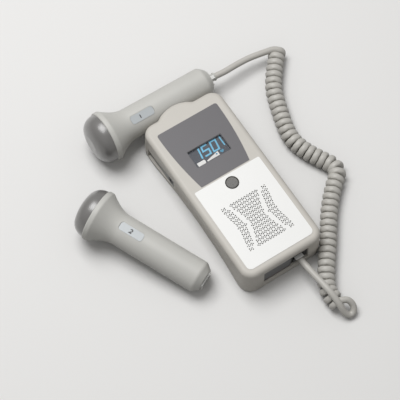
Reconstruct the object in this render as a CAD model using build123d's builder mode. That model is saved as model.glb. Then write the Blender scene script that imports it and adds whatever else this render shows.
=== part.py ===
from build123d import *
import os
from math import asin, atan2, cos, hypot, pi, radians, sin, tan

os.makedirs("parts", exist_ok=True)

# Display unit: millimetres, +Z out of the front face, +Y towards the docked probe, back face on Z = 0
case_width = 81.3
case_top_y = 88.5
case_bottom_y = -87.0
case_height = 35.2
parting_z = 12.5
case_draft = 2.0
rear_draft = 1.0
top_corner_radius = 12.0
bottom_corner_radius = 12.0
front_edge_radius = 4.6
back_edge_radius = 2.2
cavity_width = 72.0
cavity_top_y = 86.0
cavity_bottom_y = -85.2
cavity_corner = 8.0
back_wall = 2.2
front_inner_z = 32.8
parting_groove = 0.3
screw_hole_radius = 1.2
screw_hole_depth = 12.0
outside_x = -50.0
outside_y = -95.0
wall_overcut = 1.0
tongue_width = 1.1
tongue_height = 1.4
fit_gap = 0.15

# Finger scallops along both long sides
scallop_top_z = 26.0
scallop_half_width = 38.4
scallop_centre_y = -4.0
scallop_half_length = 72.0
scallop_roof_radius = 2.0
scallop_end_x = 41.6
scallop_outer_x = 50.0

# Lip over the docked probe and cradle under it
lip_left_x = -22.7
lip_right_x = 15.7
lip_apex = (-3.2, 95.2)
lip_underside_z = 26.0
lip_blend_radius = 5.0
lip_root_y = 88.2
lip_inner_y = 80.0
cradle_root_y = 86.5
cradle_corner = 4.0
clearance_length = 90.0
cradle_x = (-16.5, 9.5)
cradle_side_y = 102.5
cradle_side_height = 12.0
cradle_end_y = 109.0
cradle_height = 5.3
cradle_clearance = 0.3
lip_clearance = 1.35

# White plate, dark overlay and display window
plate_half_width = 34.25
plate_top_y = 8.4
plate_bottom_y = -80.0
plate_thickness = 0.7
plate_proud = 0.3
plate_top_corner = 1.4
plate_bottom_corner = 4.6
recess_cut = 2.0
speaker_opening = (48.0, 50.0, 6.0)
front_wall_cut = 4.0
overlay_top_y = 75.1
overlay_bottom_y = 9.8
overlay_top_half_width = 31.8
overlay_bottom_half_width = 25.5
overlay_side_point = (30.4, 42.3)
overlay_corner = 2.3
overlay_thickness = 0.4
overlay_proud = 0.1
window_centre_y = 37.1
window_width = 35.4
window_height = 17.6
window_corner = 1.0
window_rim = 0.5
lens_z = (33.3, 35.0)
lens_gap = 0.1

# Sound holes: rows of a diamond lattice, a square hourglass between two side strips
hole_diameter = 1.15
hole_rows = 13
hole_first_y = -19.0
hole_row_pitch = 3.72
hole_column_pitch = 1.42
hole_pair_offset = hole_row_pitch / 4
# for each row away from the waist: last column of the middle block, first column and column count of a strip
middle_reach = (5, 6, 6, 7, 8, 9, 10)
strip_start = (8.2, 9.7, 10.2, 10.8, 11.3, 11.9, 13.9)
strip_columns = (7, 5, 5, 5, 5, 5, 3)
middle_rows_ending_paired = (0, 2, 3, 5)
strip_rows_ending_single = (0, 5)

# Power button
button_y = -0.65
button_cap_diameter = 11.0
button_hole_diameter = 12.7
button_flange_diameter = 15.6
button_top_z = 35.7
button_flange_z = 31.0
button_flange_thickness = 1.4
button_edge_radius = 0.8
button_stem_radius = 2.2
button_stem_length = 1.6

# Side panel with thumbwheel and headphone jack
side_window_y = (35.0, 76.0)
side_window_z = (5.8, 17.8)
side_panel_x = -39.2
wheel_radius = 7.6
wheel_centre = (-32.9, 68.8)
wheel_z = (11.0, 15.6)
wheel_notches = 30
wheel_clearance = 0.4
wheel_pocket_z = (10.4, 16.0)
wheel_bore_radius = 1.55
wheel_notch_radius = 0.42
wheel_notch_depth = 0.1
potentiometer_radius = 2.2
potentiometer_height = 1.0
wheel_shaft_radius = 1.5
wheel_shaft_length = 6.4
jack_y = 40.3
jack_z = 12.0
small_hole_places = [(49.3, 8.2), (57.6, 8.2)]
small_hole_radius = 0.9
panel_gap = 0.2
side_flange_x = (-35.95, -35.2)
side_flange_y = (33.0, 77.5)
side_flange_z = (3.8, 19.8)
jack_hole_radius = 3.7
jack_bushing_radius = 3.6
jack_bushing_length = 4.4
jack_body_x = (-35.1, -22.0)
jack_body_half_width = 3.3
jack_body_low_z = 8.8
jack_bore_depth = 14.0
jack_bore_radius = 1.8

# End window with dark panel and probe jack
end_window_x = (-23.0, 23.6)
end_window_z = (10.9, 28.4)
end_panel_y = -86.8
end_panel_right_x = 5.5
plug_x = 14.0
plug_z = 16.0
plug_width = 11.0
plug_height = 6.6
plug_y = (-86.6, -73.4)
plug_edge_radius = 0.5
plug_gap = 0.3
latch_room = 2.6
latch_half_width = 4.1
# side outline of the latch: Y, and height over the plug's body
latch_outline = [(-75.5, 0.0), (-74.5, 0.0), (-76.5, 1.1), (-84.6, 1.6), (-88.8, 2.5), (-88.8, 1.4),
                 (-84.6, 0.6)]
end_gap = 0.1
end_flange_y = (-85.1, -84.4)
end_flange_z = (9.2, 30.0)
end_flange_reach = 2.0
probe_jack_y = (-85.6, -70.8)
jack_floor_y = -72.6

# Battery compartment: four AA cells side by side
cell_diameter = 14.4
cell_length = 49.2
cell_pitch = 14.6
cell_centre_y = -40.0
cell_centre_z = 10.2
door_half_width = 29.6
door_top_y = -12.0
door_thickness = 2.3
door_gap = 0.3
tray_x = (-31.1, 31.1)
tray_y = (-70.4, -9.6)
tray_floor_x = (-31.5, 31.5)
tray_floor_z = 4.4
cell_room_x = (-29.5, 29.5)
cell_room_y = (-68.8, -11.2)
cell_room_top_z = 17.6
cell_chamfer = 0.4
cell_half_length = 25.3
cell_cap_radius = 2.75
cell_cap_height = 1.4
cell_cap_plane = 23.8
grip_groove = (16.0, 1.0, 0.6)
grip_groove_pitch = 2.2
grip_groove_count = 5
grip_centre_y = -24.0
contact_plane = 28.3
contact_size = (10.0, 0.5)
contact_z = (5.0, 15.5)
contact_tab = (4.0, 4.0)
spring_end_plane = 28.5
spring_tip_plane = 25.4
spring_end_radii = (5.0, 4.2)
spring_tip_radii = (2.6, 1.8)

# Circuit board and loudspeaker
board_z = 19.0
board_thickness = 1.6
board_x = (-33.5, 33.5)
board_y = (-8.0, 74.5)
module_x = (-21.0, 21.0)
module_y = (23.5, 50.5)
module_top_z = 31.2
module_corner = 1.0
glass_x = (-19.8, 19.8)
glass_y = (26.2, 48.0)
glass_gap = 0.2
switch_half_width = 3.1
switch_top_z = 26.0
switch_plunger_radius = 1.7
switch_plunger_travel = 2.2
speaker_y = -41.3
speaker_radius = 28.5
# half section of the basket: radius, height
basket_section = [(0, 25.0), (12.0, 25.0), (speaker_radius, 30.8), (speaker_radius, 32.7), (26.2, 32.7),
                  (26.2, 31.2), (11.0, 26.2), (0, 26.2)]
cone_section = [(0, 28.6), (6.0, 27.2), (26.1, 31.9), (26.1, 32.5), (6.0, 27.8), (0, 29.2)]
magnet_radius = 14.0
magnet_z = (19.4, 25.0)

# Screws through the back
screw_places = [(33.0, -78.6), (-33.0, -78.6), (31.0, 80.2), (-31.0, 80.2)]
boss_radius = 3.4
screw_clearance_radius = 1.4
counterbore_radius = 2.7
counterbore_depth = 2.4
screw_head_z = 0.6
screw_head_radius = 2.5
screw_head_height = 1.8
screw_slot = (3.0, 0.7)
screw_slot_depth = 0.9
screw_shank_radius = 1.15
screw_shank_length = 20.0

# Hand probe, measured along its own axis from the tail end
handle_radius = 14.9
tail_radius = 10.2
tail_taper = 5.6
flare_start = 87.1
flare_bulge = 8.9
rim_start = 108.8
rim_end = 113.4
rim_radius = 24.35
rim_back_round = 3.0
rim_front_round = 1.2
tail_round = 4.0
face_radius = 23.2
face_depth = 14.6
face_wall = 4.0
face_squareness = 0.55
bore_radius = 12.6
socket_frame_size = (15.0, 12.0)
socket_frame_proud = 1.6
tag_centre = 76.0
tag_size = (23.6, 7.8)
tag_depth = 0.9
tag_thickness = 0.5
tag_corner = 2.4
tag_gap = 0.5
tail_edge_radius = 0.5
tail_wall = 2.6
tail_bore = (8.6, 6.6)
flare_bore_start = 86.1
flare_bore_bulge = 96.5
rim_bore_radius = 21.2
tail_opening = (13.1, 10.1)
tail_opening_depth = 7.0
face_tip_wall = 2.4
face_spigot_start = 110.8
face_spigot_radii = (19.2, 21.0)
crystal_start = 121.2
crystal_radius = 9.5
crystal_slit = (1.0, 20.0)
crystal_thickness = 1.8
backing_flange_radius = 18.4
backing_radius = 11.0
backing_length = 7.8
probe_board = (20.0, 1.6)
probe_board_start = 16.0
probe_board_length = 84.0
tail_frame_corner = 1.6
tail_frame_chamfer = 0.4
tail_frame_sleeve = (13.0, 10.0)
tail_frame_sleeve_length = 13.0
tail_frame_opening = (11.2, 7.8)
socket_outer = (11.1, 7.7)
socket_inner = (10.0, 6.7)
socket_start = -0.9
socket_length = 13.9
socket_depth = 12.4

# Plug in the docked probe
probe_plug_proud = 1.8
probe_plug_size = (9.6, 6.3)
probe_plug_length = 10.8
probe_plug_neck = (6.8, 6.0, 1.2)
probe_plug_neck_length = 4.2
probe_plug_collar_radius = 4.0
probe_plug_collar_length = 1.2
probe_latch_half_width = 1.7
probe_latch_outline = [(-1.9, 3.05), (-1.9, 3.75), (-5.4, 4.9), (-5.4, 4.2), (-2.9, 3.05)]

# Where the two probes lie: tail end, heading from tail to head, roll of the tag about the axis
docked_tail = (43.5, 106.2)
docked_heading = 181.0
docked_tilt = 2.74
docked_roll = 21.0
spare_tail = (-66.7, -59.3)
spare_heading = 115.9
spare_roll = 5.5

# Cord: straight leads and the outer shape of its coil, resting on Z = 0
cord_diameter = 6.0
coil_diameter = 16.2
coil_z = coil_diameter / 2 + 0.05
arc_share = 0.45
probe_lead_route = [(51.1, 106.3, 18.6), (60.0, 105.7, 17.9), (73.0, 106.6, 17.0), (88.0, 107.0, 15.7),
                    (99.5, 105.6, 15.0), (109.3, 104.1, 14.3)]
coil_route = [(118.2, 101.2), (95.2, 76.8), (85.5, 50.4), (76.8, 20.5), (80.5, 3.0), (88.0, -12.5),
              (95.6, -26.0), (93.9, -34.4), (83.1, -42.5), (65.6, -60.3), (47.9, -85.2), (31.2, -105.6),
              (21.0, -121.0), (19.4, -133.5), (23.9, -143.7)]
unit_lead_route = [(14.9, -86.8, 15.5), (15.2, -92.5, 15.7), (16.1, -105.0, 17.1), (16.5, -120.0, 19.2),
                   (17.2, -133.0, 19.7), (18.0, -143.5, 18.3), (20.6, -151.4, 12.8), (27.6, -150.4, 7.0)]


def save(piece, name):
    piece.part.label = name
    export_step(piece.part, f"parts/{name}.step")


def span(low, high):
    """Centre and length of a stretch."""
    return (low + high) / 2, high - low


def block(x, y, z, mode=Mode.ADD):
    """Box between two X, two Y and two Z values."""
    (cx, dx), (cy, dy), (cz, dz) = span(*x), span(*y), span(*z)
    with Locations((cx, cy, cz)):
        Box(dx, dy, dz, mode=mode)


# ---- Probe geometry shared by both probes


def rim_touch_height(tilt):
    """Height of the axis at the tail end for which the rim just touches Z = 0."""
    flare_slope = atan2(rim_radius - handle_radius, rim_start - flare_start - flare_bulge)
    along = rim_start + rim_back_round * tan(flare_slope / 2)
    radius = rim_radius - rim_back_round
    return -sin(tilt) * along + cos(tilt) * radius + rim_back_round


def resting_tilt():
    """Tilt of a probe that lies on Z = 0 with its rim and its tail end."""
    flare_slope = atan2(rim_radius - handle_radius, rim_start - flare_start - flare_bulge)
    taper_slope = atan2(handle_radius - tail_radius, tail_taper)
    rim = (rim_start + rim_back_round * tan(flare_slope / 2), rim_radius - rim_back_round)
    tail = (tail_taper + tail_round * tan(taper_slope / 2), handle_radius - tail_round)
    rise, run = rim[1] - tail[1], rim[0] - tail[0]
    return atan2(rise, run) - asin((tail_round - rim_back_round) / hypot(rise, run))


class ProbeFrame:
    """Axes of one probe: origin at its tail end, along towards its head, up through the tag."""

    def __init__(self, tail, heading, tilt, roll):
        turn, roll = radians(heading), radians(roll)
        self.origin = Vector(tail[0], tail[1], rim_touch_height(tilt))
        self.along = Vector(cos(turn) * cos(tilt), sin(turn) * cos(tilt), sin(tilt))
        level = Vector(-sin(turn), cos(turn), 0)
        upright = self.along.cross(level)
        self.up = upright * cos(roll) + level * sin(roll)
        self.side = level * cos(roll) - upright * sin(roll)
        self.axis = Axis(self.origin, self.along)

    def at(self, along, up=0.0):
        return self.origin + self.along * along + self.up * up

    def lengthwise(self):
        return Plane(origin=self.origin, x_dir=self.along, z_dir=self.along.cross(self.up))

    def across(self, along):
        return Plane(origin=self.at(along), x_dir=self.side, z_dir=self.along)

    def above(self, along, up):
        return Plane(origin=self.at(along, up), x_dir=self.along, z_dir=self.up)


def face_curve(radius, depth):
    """Points of the squarish dome from its base ring to its tip."""
    steps = 6
    points = []
    for step in range(steps):
        angle = step / steps * pi / 2
        points.append((rim_end + depth * sin(angle), radius * cos(angle) ** face_squareness))
    return points + [(rim_end + depth, 0)]


def make_probe(frame, name):
    profile_plane = frame.lengthwise()
    with BuildPart() as handle:
        with BuildSketch(profile_plane):
            with BuildLine():
                outline = Polyline((0, 0), (0, tail_radius), (tail_taper, handle_radius),
                                   (flare_start, handle_radius))
                Bezier(outline @ 1, (flare_start + flare_bulge, handle_radius), (rim_start, rim_radius))
                Polyline((rim_start, rim_radius), (rim_end, rim_radius), (rim_end, 0), (0, 0))
            make_face()
        revolve(axis=frame.axis)
        rims = handle.edges().filter_by(GeomType.CIRCLE).sort_by(SortBy.RADIUS)[-2:]
        rims = sorted(rims, key=lambda rim: (rim.arc_center - frame.origin).dot(frame.along))
        fillet(rims[0], rim_back_round)
        fillet(rims[1], rim_front_round)
        tail_edges = handle.edges().filter_by(GeomType.CIRCLE)
        tail_edges = sorted(tail_edges, key=lambda ring: (ring.arc_center - frame.origin).dot(frame.along))
        fillet(tail_edges[1], tail_round)
        fillet(tail_edges[0], tail_edge_radius)
        with BuildSketch(profile_plane):
            with BuildLine():
                Polyline((rim_end, 0), (tail_wall, 0), (tail_wall, tail_bore[0]), (tail_bore[1], bore_radius),
                         (flare_bore_start, bore_radius))
                Bezier((flare_bore_start, bore_radius), (flare_bore_bulge, bore_radius),
                       (rim_start, rim_bore_radius))
                Polyline((rim_start, rim_bore_radius), (rim_end, rim_bore_radius), (rim_end, 0))
            make_face()
        revolve(axis=frame.axis, mode=Mode.SUBTRACT)
        with BuildSketch(frame.across(0)):
            Rectangle(*tail_opening)
        extrude(amount=tail_opening_depth, mode=Mode.SUBTRACT)
        with BuildSketch(frame.above(tag_centre, handle_radius - tag_depth)):
            RectangleRounded(tag_size[0] + 2 * tag_gap, tag_size[1] + 2 * tag_gap, tag_corner + tag_gap)
        extrude(amount=handle_radius, mode=Mode.SUBTRACT)
    save(handle, f"{name}_handle")

    with BuildPart() as face:
        with BuildSketch(profile_plane):
            with BuildLine():
                Spline(face_curve(face_radius, face_depth), tangents=[(1, 0), (0, -1)])
                inner = face_curve(face_radius - face_wall, face_depth - face_tip_wall)
                Line((rim_end + face_depth, 0), inner[-1])
                Spline(inner, tangents=[(1, 0), (0, -1)])
                spigot_inner, spigot_outer = face_spigot_radii
                Polyline(inner[0], (face_spigot_start, spigot_inner), (face_spigot_start, spigot_outer),
                         (rim_end, spigot_outer), (rim_end, face_radius))
            make_face()
        revolve(axis=frame.axis)
    save(face, f"{name}_face")

    with BuildPart() as crystals:
        with BuildSketch(frame.across(crystal_start)):
            Circle(crystal_radius)
            Rectangle(*crystal_slit, mode=Mode.SUBTRACT)
        extrude(amount=crystal_thickness)
    save(crystals, f"{name}_crystals")

    with BuildPart() as backing:
        with BuildSketch(frame.across(rim_end)):
            Circle(backing_flange_radius)
        extrude(amount=crystal_thickness)
        with BuildSketch(frame.across(rim_end)):
            Circle(backing_radius)
        extrude(amount=backing_length)
    save(backing, f"{name}_crystal_backing")

    with BuildPart() as circuit:
        with BuildSketch(frame.across(probe_board_start)):
            Rectangle(*probe_board)
        extrude(amount=probe_board_length)
    save(circuit, f"{name}_circuit_board")

    with BuildPart() as tail_frame:
        with BuildSketch(frame.across(-socket_frame_proud)):
            RectangleRounded(*socket_frame_size, tail_frame_corner)
        extrude(amount=socket_frame_proud)
        chamfer(tail_frame.faces().sort_by(frame.axis)[0].edges(), tail_frame_chamfer)
        with BuildSketch(frame.across(0)):
            Rectangle(*tail_frame_sleeve)
        extrude(amount=tail_frame_sleeve_length)
        with BuildSketch(frame.across(-socket_frame_proud)):
            Rectangle(*tail_frame_opening)
        extrude(amount=socket_frame_proud + tail_frame_sleeve_length, mode=Mode.SUBTRACT)
    save(tail_frame, f"{name}_tail_frame")

    with BuildPart() as socket:
        with BuildSketch(frame.across(socket_start)):
            Rectangle(*socket_outer)
        extrude(amount=socket_length)
        with BuildSketch(frame.across(socket_start)):
            Rectangle(*socket_inner)
        extrude(amount=socket_depth, mode=Mode.SUBTRACT)
    save(socket, f"{name}_socket")

    with BuildPart() as tag:
        with BuildSketch(frame.above(tag_centre, handle_radius - tag_depth)):
            RectangleRounded(*tag_size, tag_corner)
        extrude(amount=tag_thickness)
    save(tag, f"{name}_tag")


docked = ProbeFrame(docked_tail, docked_heading, radians(docked_tilt), docked_roll)
spare = ProbeFrame(spare_tail, spare_heading, resting_tilt(), spare_roll)
make_probe(docked, "docked")
make_probe(spare, "spare")
print("probes")

# ---- Outer form of the display unit, widest at the parting plane

parting_growth = 2 * (case_height - parting_z) * tan(radians(case_draft))
case_middle_y, case_length = span(case_bottom_y, case_top_y)
cavity_middle_y, cavity_length = span(cavity_bottom_y, cavity_top_y)
with BuildSketch(Plane.XY.offset(parting_z)) as case_outline:
    with Locations((0, case_middle_y)):
        Rectangle(case_width + parting_growth, case_length + parting_growth)
    fillet(case_outline.vertices().group_by(Axis.Y)[-1], top_corner_radius)
    fillet(case_outline.vertices().group_by(Axis.Y)[0], bottom_corner_radius)

with BuildPart() as scallops:
    for side in (1, -1):
        with BuildSketch(Plane.XY.offset(-wall_overcut)):
            with BuildLine():
                low = (side * scallop_end_x, scallop_centre_y - scallop_half_length)
                high = (side * scallop_end_x, scallop_centre_y + scallop_half_length)
                ThreePointArc(low, (side * scallop_half_width, scallop_centre_y), high)
                Polyline(high, (side * scallop_outer_x, high[1]), (side * scallop_outer_x, low[1]), low)
            make_face()
        extrude(amount=scallop_top_z + wall_overcut)
    roofs = scallops.edges().filter_by(GeomType.CIRCLE).group_by(Axis.Z)[-1]
    fillet(roofs, scallop_roof_radius)

with BuildPart() as case_form:
    add(case_outline.sketch)
    extrude(amount=case_height - parting_z, taper=case_draft)
    add(case_outline.sketch)
    extrude(amount=-parting_z, taper=rear_draft)
    add(scallops.part, mode=Mode.SUBTRACT)
    with BuildSketch(Plane.XY.offset(lip_underside_z)):
        with BuildLine():
            ThreePointArc((lip_left_x, lip_root_y), lip_apex, (lip_right_x, lip_root_y))
            Polyline((lip_right_x, lip_root_y), (lip_right_x, lip_inner_y), (lip_left_x, lip_inner_y),
                     (lip_left_x, lip_root_y))
        make_face()
    extrude(amount=case_height - lip_underside_z)
    lip_middle_z = (lip_underside_z + case_height) / 2
    lip_corners = [(x, case_top_y, lip_middle_z) for x in (lip_left_x, lip_right_x)]
    lip_roots = [case_form.edges().sort_by_distance(corner)[0] for corner in lip_corners]
    fillet(lip_roots, lip_blend_radius)
    fillet(case_form.faces().sort_by(Axis.Z)[-1].outer_wire().edges(), front_edge_radius)
    fillet(case_form.faces().sort_by(Axis.Z)[0].outer_wire().edges(), back_edge_radius)
print("case form", case_form.part.volume, case_form.part.bounding_box())

# ---- Front shell

with BuildPart() as handle_clearance:
    with BuildSketch(docked.across(0)):
        Circle(handle_radius + cradle_clearance)
    extrude(amount=clearance_length)

with BuildPart() as lip_gap:
    with BuildSketch(docked.across(0)):
        Circle(handle_radius + lip_clearance)
    extrude(amount=clearance_length)

with BuildPart() as cradle:
    block(cradle_x, (cradle_root_y, cradle_end_y), (0, cradle_height))
    fillet(cradle.edges().filter_by(Axis.Z).group_by(Axis.Y)[-1], cradle_corner)
    block(cradle_x, (cradle_root_y, cradle_side_y), (0, cradle_side_height))
    add(handle_clearance.part, mode=Mode.SUBTRACT)

with BuildPart() as front_shell:
    add(case_form.part)
    split(bisect_by=Plane.XY.offset(parting_z), keep=Keep.TOP)
    chamfer(front_shell.faces().sort_by(Axis.Z)[0].outer_wire().edges(), parting_groove)
    with BuildSketch(Plane.XY.offset(parting_z)):
        with Locations((0, cavity_middle_y)):
            RectangleRounded(cavity_width, cavity_length, cavity_corner)
    extrude(amount=front_inner_z - parting_z, mode=Mode.SUBTRACT)
    with BuildSketch(Plane.XY.offset(parting_z)):
        with Locations(*screw_places):
            Circle(boss_radius)
    extrude(amount=front_inner_z - parting_z)
    with BuildSketch(Plane.XY.offset(parting_z)):
        relief = 2 * (tongue_width + fit_gap)
        with Locations((0, cavity_middle_y)):
            RectangleRounded(cavity_width + relief, cavity_length + relief, cavity_corner + tongue_width)
    extrude(amount=tongue_height + fit_gap, mode=Mode.SUBTRACT)
    with BuildSketch(Plane.XY.offset(parting_z)):
        with Locations(*screw_places):
            Circle(screw_hole_radius)
    extrude(amount=screw_hole_depth, mode=Mode.SUBTRACT)
    add(lip_gap.part, mode=Mode.SUBTRACT)
    # recesses for the plate and the overlay
    plate_floor = case_height + plate_proud - plate_thickness
    with BuildSketch(Plane.XY.offset(plate_floor)) as plate_outline:
        with Locations((0, (plate_top_y + plate_bottom_y) / 2)):
            Rectangle(2 * plate_half_width, plate_top_y - plate_bottom_y)
        fillet(plate_outline.vertices().group_by(Axis.Y)[-1], plate_top_corner)
        fillet(plate_outline.vertices().group_by(Axis.Y)[0], plate_bottom_corner)
    extrude(amount=recess_cut, mode=Mode.SUBTRACT)
    overlay_floor = case_height + overlay_proud - overlay_thickness
    with BuildSketch(Plane.XY.offset(overlay_floor)) as overlay_outline:
        with BuildLine():
            top_right = (overlay_top_half_width, overlay_top_y)
            bottom_right = (overlay_bottom_half_width, overlay_bottom_y)
            Line((0, overlay_top_y), top_right)
            ThreePointArc(top_right, overlay_side_point, bottom_right)
            Line(bottom_right, (0, overlay_bottom_y))
            mirror(about=Plane.YZ)
        make_face()
        fillet(overlay_outline.vertices().group_by(Axis.Y)[-1], overlay_corner)
    extrude(amount=recess_cut, mode=Mode.SUBTRACT)
    # openings in the front wall
    with BuildSketch(Plane.XY.offset(front_inner_z)):
        with Locations((0, window_centre_y)):
            RectangleRounded(window_width, window_height, window_corner)
        with Locations((0, speaker_y)):
            RectangleRounded(*speaker_opening)
        with Locations((0, button_y)):
            Circle(button_hole_diameter / 2)
    extrude(amount=front_wall_cut, mode=Mode.SUBTRACT)
    # side and end windows, thumbwheel pocket
    block((outside_x, -cavity_width / 2 + wall_overcut), side_window_y, side_window_z, Mode.SUBTRACT)
    block(end_window_x, (outside_y, cavity_bottom_y + wall_overcut), end_window_z, Mode.SUBTRACT)
    with BuildSketch(Plane.XY.offset(wheel_pocket_z[0])):
        with Locations(wheel_centre):
            Circle(wheel_radius + wheel_clearance)
    extrude(amount=wheel_pocket_z[1] - wheel_pocket_z[0], mode=Mode.SUBTRACT)
save(front_shell, "front_shell")
print("front shell", len(front_shell.part.solids()))

# ---- Rear shell with battery tray and probe cradle

with BuildPart() as rear_shell:
    add(case_form.part)
    split(bisect_by=Plane.XY.offset(parting_z), keep=Keep.BOTTOM)
    chamfer(rear_shell.faces().sort_by(Axis.Z)[-1].outer_wire().edges(), parting_groove)
    with BuildSketch(Plane.XY.offset(parting_z)):
        with Locations((0, cavity_middle_y)):
            RectangleRounded(cavity_width + 2 * tongue_width, cavity_length + 2 * tongue_width,
                             cavity_corner + tongue_width)
    extrude(amount=tongue_height)
    with BuildSketch(Plane.XY.offset(back_wall)):
        with Locations((0, cavity_middle_y)):
            RectangleRounded(cavity_width, cavity_length, cavity_corner)
    extrude(amount=parting_z, mode=Mode.SUBTRACT)
    with BuildSketch():
        with Locations(*screw_places):
            Circle(boss_radius)
    extrude(amount=parting_z)
    with BuildSketch():
        with Locations(*screw_places):
            Circle(screw_clearance_radius)
    extrude(amount=parting_z, mode=Mode.SUBTRACT)
    with BuildSketch():
        with Locations(*screw_places):
            Circle(counterbore_radius)
    extrude(amount=counterbore_depth, mode=Mode.SUBTRACT)
    # battery tray and the floor above the door
    block(tray_x, tray_y, (back_wall, board_z))
    block(tray_floor_x, (cavity_bottom_y - parting_groove, tray_y[1]),
          (door_thickness + door_gap, tray_floor_z))
    block((-door_half_width - door_gap, door_half_width + door_gap), (outside_y, door_top_y + door_gap),
          (-wall_overcut, door_thickness + door_gap), Mode.SUBTRACT)
    block(cell_room_x, cell_room_y, (back_wall / 2, cell_room_top_z), Mode.SUBTRACT)
    # cradle under the docked probe
    add(cradle.part)
    # windows and thumbwheel pocket
    block((outside_x, -cavity_width / 2 + wall_overcut), side_window_y, side_window_z, Mode.SUBTRACT)
    block(end_window_x, (outside_y, cavity_bottom_y + wall_overcut), end_window_z, Mode.SUBTRACT)
    with BuildSketch(Plane.XY.offset(wheel_pocket_z[0])):
        with Locations(wheel_centre):
            Circle(wheel_radius + wheel_clearance)
    extrude(amount=wheel_pocket_z[1] - wheel_pocket_z[0], mode=Mode.SUBTRACT)
save(rear_shell, "rear_shell")
print("rear shell", len(rear_shell.part.solids()))

with BuildPart() as battery_door:
    add(case_form.part)
    with BuildSketch(Plane.XY.offset(-wall_overcut)):
        with Locations((0, (door_top_y + outside_y) / 2)):
            Rectangle(2 * door_half_width, door_top_y - outside_y)
    extrude(amount=door_thickness + wall_overcut, mode=Mode.INTERSECT)
    with BuildSketch():
        with Locations((0, grip_centre_y)):
            with GridLocations(0, grip_groove_pitch, 1, grip_groove_count):
                Rectangle(*grip_groove[:2])
    extrude(amount=grip_groove[2], mode=Mode.SUBTRACT)
save(battery_door, "battery_door")

# ---- Front plate, overlay and window

def hole_row(first, count, y, paired):
    """Holes of one row, in turn a pair across the row and one on it."""
    places = []
    for step in range(count):
        x = (first + step) * hole_column_pitch
        if (step % 2 == 0) == paired:
            places += [(x, y + hole_pair_offset), (x, y - hole_pair_offset)]
        else:
            places.append((x, y))
    return places


with BuildPart() as front_plate:
    add(plate_outline.sketch)
    extrude(amount=plate_thickness)
    waist = (hole_rows - 1) // 2
    holes = []
    for row in range(hole_rows):
        y = hole_first_y - row * hole_row_pitch
        away = abs(row - waist)
        reach, start, count = middle_reach[away], strip_start[away], strip_columns[away]
        holes += hole_row(-reach, 2 * reach + 1, y, away in middle_rows_ending_paired)
        for first in (start, 1 - start - count):
            holes += hole_row(first, count, y, away not in strip_rows_ending_single)
    with BuildSketch(Plane.XY.offset(plate_floor)):
        with Locations(*holes):
            Circle(hole_diameter / 2)
    extrude(amount=plate_thickness, mode=Mode.SUBTRACT)
    with BuildSketch(Plane.XY.offset(plate_floor)):
        with Locations((0, button_y)):
            Circle(button_hole_diameter / 2)
    extrude(amount=plate_thickness, mode=Mode.SUBTRACT)
save(front_plate, "front_plate")
print("front plate", len(holes), "sound holes")

with BuildPart() as display_overlay:
    add(overlay_outline.sketch)
    extrude(amount=overlay_thickness)
    with BuildSketch(Plane.XY.offset(overlay_floor)):
        with Locations((0, window_centre_y)):
            RectangleRounded(window_width + 2 * window_rim, window_height + 2 * window_rim, window_corner)
    extrude(amount=overlay_thickness, mode=Mode.SUBTRACT)
save(display_overlay, "display_overlay")

with BuildPart() as window_lens:
    with BuildSketch(Plane.XY.offset(lens_z[0])):
        with Locations((0, window_centre_y)):
            RectangleRounded(window_width - 2 * lens_gap, window_height - 2 * lens_gap,
                             window_corner - lens_gap)
    extrude(amount=lens_z[1] - lens_z[0])
save(window_lens, "window_lens")

# ---- Circuit board and what it carries

with BuildPart() as main_board:
    block(board_x, board_y, (board_z, board_z + board_thickness))
save(main_board, "main_circuit_board")

board_top = board_z + board_thickness
with BuildPart() as display_module:
    block(module_x, module_y, (board_top, module_top_z))
    fillet(display_module.edges().filter_by(Axis.Z), module_corner)
save(display_module, "display_module")

with BuildPart() as display_glass:
    block(glass_x, glass_y, (module_top_z, front_inner_z - glass_gap))
save(display_glass, "display_glass")

with BuildPart() as power_switch:
    block((-switch_half_width, switch_half_width),
          (button_y - switch_half_width, button_y + switch_half_width), (board_top, switch_top_z))
    with BuildSketch(Plane.XY.offset(switch_top_z)):
        with Locations((0, button_y)):
            Circle(switch_plunger_radius)
    extrude(amount=switch_plunger_travel)
save(power_switch, "power_switch")

with BuildPart() as power_button:
    with BuildSketch(Plane.XY.offset(button_flange_z)):
        with Locations((0, button_y)):
            Circle(button_flange_diameter / 2)
    extrude(amount=button_flange_thickness)
    with BuildSketch(Plane.XY.offset(button_flange_z)):
        with Locations((0, button_y)):
            Circle(button_cap_diameter / 2)
    extrude(amount=button_top_z - button_flange_z)
    fillet(power_button.faces().sort_by(Axis.Z)[-1].edges(), button_edge_radius)
    with BuildSketch(Plane.XY.offset(button_flange_z)):
        with Locations((0, button_y)):
            Circle(button_stem_radius)
    extrude(amount=-button_stem_length)
save(power_button, "power_button")

with BuildPart() as potentiometer:
    with BuildSketch(Plane.XY.offset(board_z)):
        with Locations(wheel_centre):
            Circle(potentiometer_radius)
    extrude(amount=-potentiometer_height)
    with BuildSketch(Plane.XY.offset(board_z - potentiometer_height)):
        with Locations(wheel_centre):
            Circle(wheel_shaft_radius)
    extrude(amount=-wheel_shaft_length)
save(potentiometer, "volume_potentiometer")

with BuildPart() as volume_wheel:
    with BuildSketch(Plane.XY.offset(wheel_z[0])):
        with Locations(wheel_centre):
            Circle(wheel_radius)
            Circle(wheel_bore_radius, mode=Mode.SUBTRACT)
            with PolarLocations(wheel_radius + wheel_notch_depth, wheel_notches):
                Circle(wheel_notch_radius, mode=Mode.SUBTRACT)
    extrude(amount=wheel_z[1] - wheel_z[0])
save(volume_wheel, "volume_wheel")

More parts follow.
